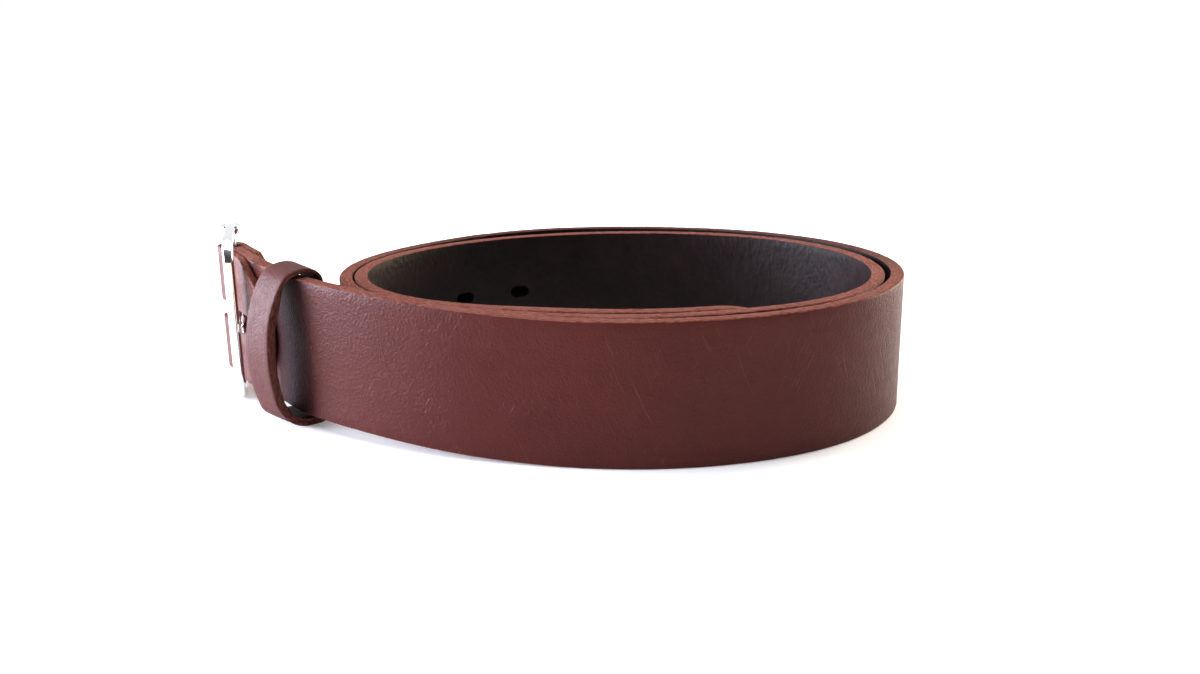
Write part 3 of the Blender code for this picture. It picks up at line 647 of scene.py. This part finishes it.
yc = STRAIGHT_Y + CY
end_tools = [box_mesh("notch", (STRAIGHT_X0 - 5 + CX, yc - 4, Z_MID - SLOT_H / 2),
                      (-61.3 + CX, yc + 4, Z_MID + SLOT_H / 2), leathers, 2)]
for dz in (-SCREW_DZ, SCREW_DZ):
    end_tools.append(cyl_mesh("sh", SCREW_X + CX, Z_MID + dz, 2.5, yc - 4, yc + 4, leathers, 2))
for ob in end_tools:
    ob.data.transform(END_M)
carve(strap, tools + end_tools)

# ---------------------------------------------------------------- the buckle tab
bar_x = bx - CX
FRONT_LEAF = [(-41.3, 1.2), (-41.5, 3.0), (-42.3, 5.5), (-44.0, 8.2), (-47.0, 10.8), (-50.0, 12.7), (-51.5, 13.5),
              (-53.0, 14.2), (-54.5, 15.0), (-56.0, 15.8), (-57.0, 16.3), (-60.0, 17.5), (-70.0, 17.5), (bar_x, 17.5)]
BACK_LEAF = [(bar_x, 17.5), (-72.0, 17.5), (-65.0, 17.5), (-62.0, 16.3), (-56.0, 13.2), (-54.5, 12.4),
             (-53.0, 11.6), (-51.5, 10.8), (-50.0, 10.0), (-46.5, 7.0), (-45.0, 4.6), (-44.2, 2.8), (-44.0, 1.2)]


def leaf_profile(table):
    xs = [p[0] for p in table]
    hs = [p[1] for p in table]
    if xs[0] > xs[-1]:
        xs, hs = xs[::-1], hs[::-1]
    return lambda x: float(np.interp(x, xs, hs))


front_h, back_h = leaf_profile(FRONT_LEAF), leaf_profile(BACK_LEAF)
st, s = [], 0.0
xs = sorted(set(list(np.round(np.arange(-41.3, bar_x, -1.2), 3)) + [-41.4, -41.5, -41.8, -42.3, -43.1, bar_x]), reverse=True)
last = None


def add_station(p, way_out, h):
    global s, last
    if last is not None:
        s += math.hypot(p[0] - last[0], p[1] - last[1])
    last = p
    st.append((s, p, way_out, Z_MID - h, Z_MID + h))


for x in xs:
    add_station(*beside(x, -TAB_MID), front_h(x))
for k in range(1, 24):
    a = math.radians(-90 - END_SWING - 180 * k / 24)
    add_station((bx + TAB_MID * math.cos(a), by + TAB_MID * math.sin(a)), (math.cos(a), math.sin(a)), 17.5)
for x in sorted(set(list(np.round(np.arange(bar_x, -44.0, 1.2), 3)) + [-44.0, -44.1, -44.2, -44.5, -45.0, -45.6])):
    add_station(*beside(x, TAB_MID), back_h(x))
tab_mats = [m_tab_grain_painted_sheen, m_flesh, m_tab_edge]
tab = strip("buckle_tab_leather", st, TAB_T / 2, tab_mats, 0.35, 0.2, 12, 0.05, 0.04, 3.1)
tools = [box_mesh("s1", (-90 + CX, yc - 6, Z_MID - SLOT_H / 2), (-55.0 + CX, yc, Z_MID + SLOT_H / 2), tab_mats, 2),
         box_mesh("s2", (-90 + CX, yc - 1, Z_MID - SLOT_H / 2), (-72.0 + CX, yc + 6, Z_MID + SLOT_H / 2), tab_mats, 2)]
for dz in (-SCREW_DZ, SCREW_DZ):
    tools.append(cyl_mesh("th", SCREW_X + CX, Z_MID + dz, 2.5, yc - 8, yc + 8, tab_mats, 2))
for ob in tools:
    ob.data.transform(END_M)
carve(tab, tools)

# -------------------------------------------------------------------- the keeper
# section across the strap, from the strap's middle (y) and the table (z): the end
# by the coil and the end by the buckle, which stands off a little further
K_NEAR = [(6.3, 20.0), (6.3, 11.0), (6.3, 5.0), (5.8, 1.9), (4.2, 0.4), (1.5, 0.0), (-1.5, 0.1), (-4.2, 1.2),
          (-6.2, 3.1), (-7.7, 5.3), (-8.7, 8.2), (-9.4, 12.8), (-9.7, 16.1), (-9.8, 19.6), (-9.6, 23.2), (-9.2, 26.6),
          (-8.4, 30.0), (-7.2, 33.2), (-5.7, 36.3), (-3.8, 38.9), (-1.0, 40.3), (2.5, 40.45), (5.0, 39.3), (6.3, 36.6),
          (6.3, 29.0)]
K_FAR = [(6.3, 20.0), (6.3, 11.0), (6.3, 5.0), (5.6, 1.9), (3.8, 0.4), (1.0, 0.0), (-2.5, 0.1), (-5.6, 0.9),
         (-8.0, 3.0), (-9.1, 6.1), (-10.1, 9.8), (-10.7, 13.9), (-10.85, 16.2), (-10.9, 18.5), (-10.7, 21.8),
         (-9.95, 26.7), (-8.9, 30.8), (-7.9, 33.4), (-6.4, 36.3), (-4.4, 38.9), (-1.3, 40.4), (2.3, 40.5), (4.9, 39.2),
         (6.3, 36.6), (6.3, 29.0)]
K_T = 1.7


def smooth_loop(pts, per_seg=5):
    out = []
    n = len(pts)
    P = [np.array(p) for p in pts]
    for i in range(n):
        p0, p1, p2, p3 = P[i - 1], P[i], P[(i + 1) % n], P[(i + 2) % n]
        for k in range(per_seg):
            t = k / per_seg
            out.append(0.5 * ((2 * p1) + (-p0 + p2) * t + (2 * p0 - 5 * p1 + 4 * p2 - p3) * t ** 2
                              + (-p0 + 3 * p1 - 3 * p2 + p3) * t ** 3))
    return np.array(out)


def keeper_mesh():
    near, far = smooth_loop(K_NEAR), smooth_loop(K_FAR)
    n = len(near)
    width = KEEPER_X1 - KEEPER_X0
    # section across the band: position along its width (0 near .. 1 far), depth under the grain, kind
    sec = []
    e = 0.4
    for k in range(9):
        sec.append((e + (width - 2 * e) * k / 8, 0.0, 0))
    sec += [(width - e * 0.3, e * 0.3, 2), (width, e, 2), (width, K_T * 0.5, 2), (width, K_T - 0.2, 2), (width - 0.2, K_T, 1)]
    for k in range(1, 9):
        sec.append((width - 0.2 - (width - 0.4) * k / 8, K_T, 1 if k < 8 else 2))
    sec += [(0.0, K_T - 0.2, 2), (0.0, K_T * 0.5, 2), (0.0, e, 2), (e * 0.3, e * 0.3, 0)]
    bm = bmesh.new()
    uvl = bm.loops.layers.uv.new("leather")
    per = [0.0]
    for i in range(n):
        per.append(per[-1] + float(np.linalg.norm(near[(i + 1) % n] - near[i])))
    rings = []
    for i in range(n):
        ring = []
        for x, depth, kind in sec:
            t = x / width
            c = near[i] * (1 - t) + far[i] * t
            a = near[i - 1] * (1 - t) + far[i - 1] * t
            b = near[(i + 1) % n] * (1 - t) + far[(i + 1) % n] * t
            d = b - a
            d = d / np.linalg.norm(d)
            inward = np.array([-d[1], d[0]])
            if inward @ (np.array([-2.0, 20.0]) - c) < 0:
                inward = -inward
            sag = 0.05 * nz(per[i] / 9.0, x / 6.0, 2.0)
            thick = 2.15 - 0.95 * min(max((c[1] - 32.0) / 5.0, 0.0), 1.0)      # skived where it passes over the strap
            q = c + inward * (depth * thick / K_T + sag)
            ring.append(bm.verts.new((KEEPER_X1 - x + CX + 0.06 * nz(per[i] / 4.0, depth, 9.0), q[0] + yc, max(q[1], 0.02))))
        rings.append(ring)
    m = len(sec)
    wid = [0.0]
    for k in range(m):
        a, b = sec[k], sec[(k + 1) % m]
        wid.append(wid[-1] + math.hypot(a[0] - b[0], a[1] - b[1]))
    for i in range(n):
        r0, r1 = rings[i], rings[(i + 1) % n]
        for k in range(m):
            j = (k + 1) % m
            f = bm.faces.new((r0[k], r0[j], r1[j], r1[k]))
            f.material_index = sec[k][2]
            for lp, (u, v) in zip(f.loops, ((per[i], wid[k]), (per[i], wid[k + 1]), (per[i + 1], wid[k + 1]), (per[i + 1], wid[k]))):
                lp[uvl].uv = ((u + 300) * MM, v * MM)
    return to_mesh_object("keeper_leather_loop", bm, [m_keep_grain, m_flesh, m_keep_edge_shaded])


keeper = keeper_mesh()

# -------------------------------------------------------------- the buckle frame
fa = math.radians(FRAME_ANGLE)
u_dir = Vector((math.cos(fa), math.sin(fa), 0.0))
v_dir = Vector((-math.sin(fa), math.cos(fa), 0.0))
F = Matrix(((u_dir.x, v_dir.x, 0.0, bx), (u_dir.y, v_dir.y, 0.0, by), (0.0, 0.0, 1.0, FRAME_H / 2), (0, 0, 0, 1)))


def frame_path():
    """(u, w, half width in the frame's plane, half thickness) from the top eye to the bottom eye."""
    H = FRAME_H / 2 - RAIL_H / 2
    R = 4.75
    u_c = FRAME_LEN - 0.8 - R + 0.35
    half = []
    for k in range(14):
        t = k / 13.0
        half.append((u_c * t, H, RAIL_H / 2, FRAME_T / 2))
    for k in range(1, 13):
        a = math.radians(90 * k / 12)
        g = k / 12.0
        g = g * g * (3 - 2 * g)
        half.append((u_c + R * math.sin(a), H - R + R * math.cos(a),
                     RAIL_H / 2 + (OUTER_BAR_W / 2 - RAIL_H / 2) * g, FRAME_T / 2))
    w0 = H - R
    for k in range(1, 13):
        w = w0 * (1 - k / 12.0)
        half.append((u_c + R + 0.5 * (1 - (w / w0) ** 2), w, OUTER_BAR_W / 2, FRAME_T / 2))
    return half + [(u, -w, a, b) for u, w, a, b in half[-2::-1]]


def frame_mesh():
    bm = bmesh.new()
    path = frame_path()
    seg = 28
    rings = []
    for i, (u, w, hw, ht) in enumerate(path):
        q0, q1 = path[max(i - 1, 0)], path[min(i + 1, len(path) - 1)]
        d = Vector((q1[0] - q0[0], q1[1] - q0[1])).normalized()
        nrm = Vector((-d.y, d.x))
        if nrm.x * 1.0 + nrm.y * (1 if w > 0 else -1) < 0:
            nrm = -nrm
        ring = []
        for k in range(seg):
            a = 2 * math.pi * k / seg
            ca, sa = math.cos(a), math.sin(a)
            p = 0.55                      # soft-cornered rectangle
            x = hw * math.copysign(abs(ca) ** p, ca)
            y = ht * math.copysign(abs(sa) ** p, sa)
            ring.append(bm.verts.new(F @ Vector((u + nrm.x * x, y, w + nrm.y * x))))
        rings.append(ring)
    for r0, r1 in zip(rings[:-1], rings[1:]):
        for k in range(seg):
            bm.faces.new((r0[k], r0[(k + 1) % seg], r1[(k + 1) % seg], r1[k]))
    bm.faces.new(rings[0])
    bm.faces.new(rings[-1][::-1])
    # eyes round the heel bar
    for z0, z1 in ((0.0, RAIL_H), (FRAME_H - RAIL_H, FRAME_H)):
        prof = [(1.38, z0 + 0.25), (1.6, z0), (2.5, z0), (2.8, z0 + 0.3), (2.8, z1 - 0.3), (2.5, z1), (1.6, z1),
                (1.38, z1 - 0.25)]
        er = []
        for r, z in prof:
            er.append([bm.verts.new((bx + r * math.cos(2 * math.pi * k / 48), by + r * math.sin(2 * math.pi * k / 48), z))
                       for k in range(48)])
        for a, b in zip(er, er[1:] + er[:1]):
            for k in range(48):
                bm.faces.new((a[k], a[(k + 1) % 48], b[(k + 1) % 48], b[k]))
    return to_mesh_object("buckle_frame_polished", bm, [m_nickel], angle=50)


buckle = frame_mesh()

# --------------------------------------------------------------------- the prong
hook_r = BAR_R + 0.08 + 0.7
mid = []
for k in range(37):
    a = math.radians(90.0 + 285.0 - 285.0 * k / 36.0)
    mid.append((hook_r * math.cos(a), hook_r * math.sin(a), 1.4))
shank_pts = [(3.0, 2.3, 1.4), (6.0, 2.35, 1.5), (12.0, 2.4, 1.5), (18.0, 2.45, 1.5), (21.5, 2.45, 1.5), (24.0, 2.35, 1.3),
             (26.0, 2.25, 1.1), (26.9, 2.15, 0.9)]
su = np.array([p[0] for p in shank_pts])
for u in np.concatenate([np.linspace(2.4, 22.0, 18), np.linspace(22.6, 26.9, 14)]):
    mid.append((float(u), float(np.interp(u, su, [p[1] for p in shank_pts])), float(np.interp(u, su, [p[2] for p in shank_pts]))))


def prong_mesh():
    bm = bmesh.new()
    seg = 20
    rings = []
    # even out the polyline a little
    P = np.array([(p[0], p[1]) for p in mid])
    for _ in range(3):
        P[1:-1] = 0.25 * P[:-2] + 0.5 * P[1:-1] + 0.25 * P[2:]
    for i, (p, (_, _, t)) in enumerate(zip(P, mid)):
        a, b = P[max(i - 1, 0)], P[min(i + 1, len(P) - 1)]
        d = (b - a) / np.linalg.norm(b - a)
        nrm = (-d[1], d[0])
        near_tip = min(max((p[0] - 21.0) / 5.9, 0.0), 1.0) if i > 37 else 0.0
        hz = 1.9 * (1 - 0.22 * near_tip)
        ht = t / 2
        tip_left = (len(P) - 1 - i)
        if tip_left < 3:
            f = (0.45, 0.8, 0.95)[tip_left]
            hz, ht = hz * f, ht * f
        if i < 2:
            f = (0.6, 0.92)[i]
            hz, ht = hz * f, ht * f
        ring = []
        for k in range(seg):
            an = 2 * math.pi * k / seg
            ca, sa = math.cos(an), math.sin(an)
            x = ht * math.copysign(abs(ca) ** 0.6, ca)
            z = hz * math.copysign(abs(sa) ** 0.5, sa)
            ring.append(bm.verts.new(F @ Vector((p[0] + nrm[0] * x, p[1] + nrm[1] * x, z + Z_MID - FRAME_H / 2))))
        rings.append(ring)
    for r0, r1 in zip(rings[:-1], rings[1:]):
        for k in range(seg):
            bm.faces.new((r0[k], r0[(k + 1) % seg], r1[(k + 1) % seg], r1[k]))
    bm.faces.new(rings[0])
    bm.faces.new(rings[-1][::-1])
    return to_mesh_object("prong_polished", bm, [m_prong], angle=60)


prong = prong_mesh()


# ------------------------------------------------------------- posts and screws
def lathe(name, prof, cx, cz, mat, seg=48):
    bm = bmesh.new()
    rings = []
    for r, y in prof:
        rings.append([bm.verts.new((cx + r * math.cos(2 * math.pi * k / seg), y, cz + r * math.sin(2 * math.pi * k / seg)))
                      for k in range(seg)])
    for a, b in zip(rings[:-1], rings[1:]):
        for k in range(seg):
            bm.faces.new((a[k], a[(k + 1) % seg], b[(k + 1) % seg], b[k]))
    bm.faces.new(rings[0])
    bm.faces.new(rings[-1][::-1])
    return to_mesh_object(name, bm, [mat], angle=40)


y_front = STRAIGHT_Y - TAB_OUT - 0.3 + CY
y_back = STRAIGHT_Y + TAB_OUT + 0.3 + CY
fasteners = []
for where, dz in (("lower", -SCREW_DZ), ("upper", SCREW_DZ)):
    cx, cz = SCREW_X + CX, Z_MID + dz
    post = lathe("post_cap_" + where,
                 [(0.02, y_front - 1.2), (1.4, y_front - 1.17), (2.3, y_front - 1.02), (2.9, y_front - 0.78),
                  (3.2, y_front - 0.45), (3.3, y_front - 0.15), (3.25, y_front), (2.2, y_front),
                  (2.2, y_back - 0.7), (2.1, y_back - 0.6), (1.7, y_back - 0.6), (1.6, y_back - 0.7), (1.6, y_front + 1.6)],
                 cx, cz, m_post)
    screw = lathe("slotted_screw_" + where,
                  [(1.0, y_front + 2.6), (1.3, y_front + 2.9), (1.3, y_back), (3.25, y_back), (3.3, y_back + 0.15),
                   (3.25, y_back + 0.6), (3.0, y_back + 0.95), (2.2, y_back + 1.12), (1.2, y_back + 1.18), (0.02, y_back + 1.2)],
                  cx, cz, m_screw)
    slot_cut = box_mesh("slot", (cx - 4.5, y_back + 0.65, cz - 0.4), (cx + 4.5, y_back + 2.0, cz + 0.4), [m_screw], 0)
    tilt = Matrix.Translation((cx * MM, 0, cz * MM)) @ Matrix.Rotation(math.radians(24 if dz > 0 else -37), 4, "Y") \
        @ Matrix.Translation((-cx * MM, 0, -cz * MM))
    slot_cut.data.transform(tilt)
    carve(screw, [slot_cut])
    screw.data.set_sharp_from_angle(angle=math.radians(35))
    post.data.transform(END_M)
    screw.data.transform(END_M)
    fasteners.append((where, post, screw))

# ----------------------------------------------------------------------- staple
bm = bmesh.new()
sx, sy = (KEEPER_X0 + KEEPER_X1) / 2 + CX, STRAIGHT_Y + 6.3 + 0.3 + CY
pts = [(sy - 0.25, Z_MID - 4.0), (sy + 0.15, Z_MID - 3.85), (sy + 0.35, Z_MID - 3.4), (sy + 0.36, Z_MID - 1.5), (sy + 0.36, Z_MID + 1.5),
       (sy + 0.35, Z_MID + 3.4), (sy + 0.15, Z_MID + 3.85), (sy - 0.25, Z_MID + 4.0)]
rings = []
for i, (y, z) in enumerate(pts):
    a, b = pts[max(i - 1, 0)], pts[min(i + 1, len(pts) - 1)]
    d = Vector((b[0] - a[0], b[1] - a[1])).normalized()
    rings.append([bm.verts.new((sx + 0.5 * math.cos(t), y + 0.33 * -d.y * math.sin(t), z + 0.33 * d.x * math.sin(t)))
                  for t in [2 * math.pi * k / 16 for k in range(16)]])
for r0, r1 in zip(rings[:-1], rings[1:]):
    for k in range(16):
        bm.faces.new((r0[k], r0[(k + 1) % 16], r1[(k + 1) % 16], r1[k]))
bm.faces.new(rings[0])
bm.faces.new(rings[-1][::-1])
staple = to_mesh_object("keeper_wire_staple", bm, [m_wire], angle=60)

# ------------------------------------------------------------- what moves with what
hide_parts("strap_coil", "strap_buckle_end")
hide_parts("strap_tail")
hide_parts("buckle_tab")
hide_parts("keeper_band")
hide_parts("buckle_frame")
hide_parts("prong")
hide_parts("keeper_staple")
for where, post, screw in fasteners:
    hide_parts("screw_post_" + where)
    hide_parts("screw_" + where)
    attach(post, "buckle_end")
    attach(screw, "buckle_end")
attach(tab, "buckle_end")
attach(keeper, "keeper")
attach(staple, "keeper")
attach(buckle, "frame")
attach(prong, "prong")
d = Vector((-0.4, -0.9165, 0.0))
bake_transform(strap)
a, b = on_line(s_tail - 16.0), on_line(s_tail + 16.0)
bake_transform(tail)
for s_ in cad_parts["heel_bar"].material_slots:
    s_.material = m_bar
for node, mt in (("buckle_frame", m_nickel), ("prong", m_prong), ("keeper_staple", m_wire), ("strap_coil", m_grain),
                 ("strap_buckle_end", m_grain), ("strap_tail", m_grain), ("buckle_tab", m_tab_grain_painted_sheen),
                 ("keeper_band", m_keep_grain), ("screw_upper", m_screw), ("screw_lower", m_screw),
                 ("screw_post_upper", m_post), ("screw_post_lower", m_post)):
    for s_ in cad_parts[node].material_slots:
        s_.material = mt

# ------------------------------------------------------------------ floor, light
bm = bmesh.new()
n_f = 48
grid = [[bm.verts.new(((i / n_f - 0.5) * 30000, (j / n_f - 0.5) * 30000, -0.03)) for j in range(n_f + 1)] for i in range(n_f + 1)]
for i in range(n_f):
    for j in range(n_f):
        bm.faces.new((grid[i][j], grid[i + 1][j], grid[i + 1][j + 1], grid[i][j + 1]))
fl = Nodes("pale_floor")
fl.b.inputs["Base Color"].default_value = (0.90, 0.90, 0.90, 1.0)
fl.b.inputs["Roughness"].default_value = 0.9
fl.b.inputs["Specular IOR Level"].default_value = 0.05
geo = fl.new("ShaderNodeNewGeometry")
flat = fl.new("ShaderNodeVectorMath", operation="LENGTH")
fl.link(geo.outputs["Position"], flat.inputs[0])
fl.b.inputs["Emission Color"].default_value = (1.0, 1.0, 1.0, 1.0)
fl.link(fl.mapr(flat.outputs["Value"], 0.16, 0.75, 0.20, 0.85), fl.b.inputs["Emission Strength"])
floor = to_mesh_object("pale_floor_plane", bm, [fl.m], smooth=False)
floor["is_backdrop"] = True

# the camera's sight line, level: the room is bright behind the belt and dim in front
sight = Vector((-0.77348, 0.57026, 0.0)).normalized()
side = Vector((sight.y, -sight.x, 0.0))     # to the picture's right

world = bpy.data.worlds.new("studio")
scene.world = world
world.use_nodes = True
wt = world.node_tree
bg = wt.nodes["Background"]
tc = wt.nodes.new("ShaderNodeTexCoord")
dot = wt.nodes.new("ShaderNodeVectorMath")
dot.operation = "DOT_PRODUCT"
wt.links.new(tc.outputs["Generated"], dot.inputs[0])
dot.inputs[1].default_value = (sight.x, sight.y, 0.35)
rmp = wt.nodes.new("ShaderNodeValToRGB")
mr = wt.nodes.new("ShaderNodeMapRange")
mr.inputs["From Min"].default_value = -1.0
mr.inputs["From Max"].default_value = 1.0
wt.links.new(dot.outputs["Value"], mr.inputs["Value"])
wt.links.new(mr.outputs["Result"], rmp.inputs["Fac"])
els = rmp.color_ramp.elements
els[0].position, els[0].color = 0.18, (0.08, 0.08, 0.085, 1)
els[1].position, els[1].color = 0.80, (1.0, 1.0, 1.02, 1)
mid_el = els.new(0.5)
mid_el.color = (0.30, 0.30, 0.33, 1)
wt.links.new(rmp.outputs["Color"], bg.inputs["Color"])
bg.inputs["Strength"].default_value = 1.0


def area(name, loc, target, size, power, colour, size_y=None):
    li = bpy.data.lights.new(name, "AREA")
    li.energy = power
    li.color = colour
    li.size = size
    if size_y:
        li.shape = "RECTANGLE"
        li.size_y = size_y
    ob = bpy.data.objects.new(name, li)
    bpy.context.collection.objects.link(ob)
    ob.location = loc
    ob.rotation_euler = (Vector(target) - Vector(loc)).to_track_quat("-Z", "Y").to_euler()
    return ob


centre = Vector((0, 0, 0.02))
area("top_softbox", centre + Vector((0, 0, 1.1)) + sight * 0.15, centre, 1.3, 12.5, (1.0, 0.99, 0.98))
area("left_window", centre - side * 0.95 + sight * 0.04 + Vector((0, 0, 0.18)), centre, 0.8, 35.0, (0.88, 0.94, 1.12), 0.36)
area("right_lamp", centre + side * 0.70 + sight * 0.50 + Vector((0, 0, 0.17)), centre, 0.35, 9.0, (1.0, 0.80, 0.56), 0.3)

# ----------------------------------------------------------------------- camera
cam = bpy.data.cameras.new("camera")
cam.lens = 36.0
cam.sensor_width = 36.0
cam.clip_start = 0.01
cam.clip_end = 100.0
cam_ob = bpy.data.objects.new("camera", cam)
bpy.context.collection.objects.link(cam_ob)
fwd = Vector((-0.77348, 0.57026, -0.27664)).normalized()
right = Vector((0.59579, 0.80307, -0.0104)).normalized()
right = (right - fwd * right.dot(fwd)).normalized()
up = right.cross(fwd)
cam_ob.matrix_world = Matrix(((right.x, up.x, -fwd.x, (246.87 + CX) * MM), (right.y, up.y, -fwd.y, (-190.08 + CY) * MM),
                              (right.z, up.z, -fwd.z, 105.11 * MM), (0, 0, 0, 1)))
scene.camera = cam_ob
scene.view_settings.view_transform = "Standard"

bpy.context.view_layer.update()
lo, hi = [list(c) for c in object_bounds()]
